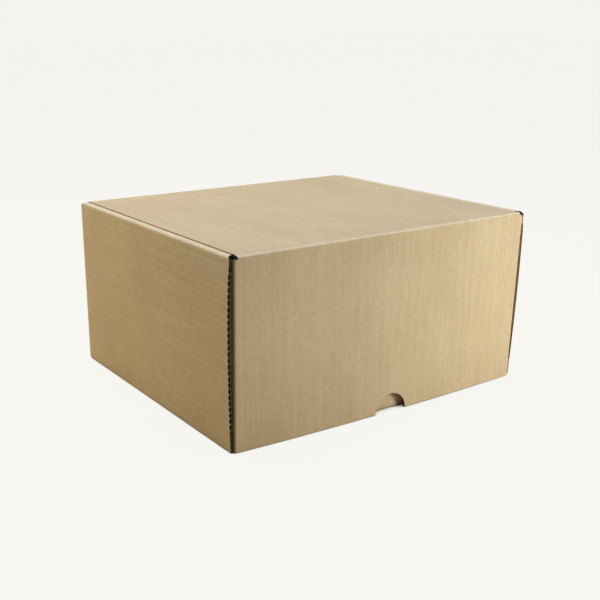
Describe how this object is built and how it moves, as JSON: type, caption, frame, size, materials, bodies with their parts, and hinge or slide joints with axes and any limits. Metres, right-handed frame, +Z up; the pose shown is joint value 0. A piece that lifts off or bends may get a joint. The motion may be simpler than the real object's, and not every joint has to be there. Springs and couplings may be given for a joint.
{
  "type": "folding mailer box",
  "caption": "Closed folding mailer box of fluted kraft board: double roll-over side walls, lid flush between them, and an outer front flap with a thumb notch that swings open.",
  "frame": {"origin": "on the ground, under the middle of the closed box's bounding box", "axes": "+X to the right across the side walls, +Y to the rear wall, +Z up; the front flap faces -Y"},
  "size_m": [0.2116, 0.1792, 0.1044],
  "materials": {
    "kraft_board": "uncoated brown kraft liner, matt"
  },
  "bodies": {
    "box": {"box_body": "kraft_board"},
    "flap": {"front_flap": "kraft_board"}
  },
  "joints": [
    {"name": "front_flap_hinge", "type": "hinge", "parent": "box", "child": "flap", "pos_m": [0, -0.08545, 0.1028], "axis": [-1, 0, 0], "range_deg": [0, 90]}
  ]
}
